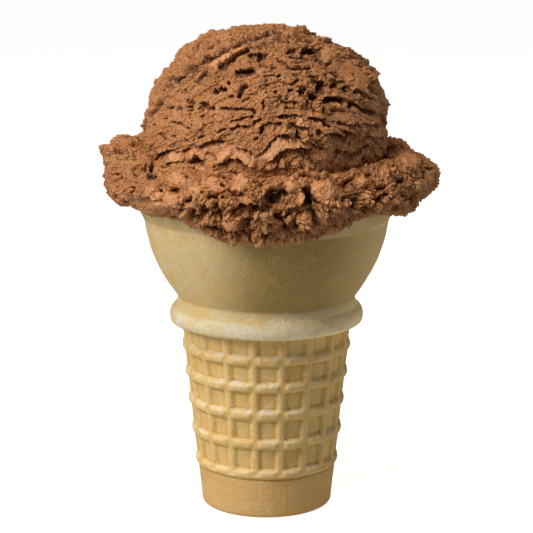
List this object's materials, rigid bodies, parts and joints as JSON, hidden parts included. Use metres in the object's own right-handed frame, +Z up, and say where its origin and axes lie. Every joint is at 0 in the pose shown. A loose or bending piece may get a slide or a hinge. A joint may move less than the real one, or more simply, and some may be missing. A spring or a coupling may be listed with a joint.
{
  "type": "ice cream cone",
  "caption": "Scoop of chocolate ice cream with a ragged collar, in a flat-bottomed moulded wafer cup with a waffle-patterned barrel.",
  "frame": {"origin": "centre of the wafer cup's flat base", "axes": "+Z up along the cup's axis, through the scoop; -Y is the front"},
  "size_m": [0.0863, 0.0805, 0.1239],
  "materials": {
    "wafer": "dry baked wafer, pale gold, fine pores, floury bloom on the raised edges",
    "ice_cream": "frozen milk chocolate ice cream, granular, softly moist, torn and dragged by the scoop"
  },
  "bodies": {
    "root": {"wafer_cone": "wafer", "ice_cream_scoop": "ice_cream"}
  },
  "joints": []
}
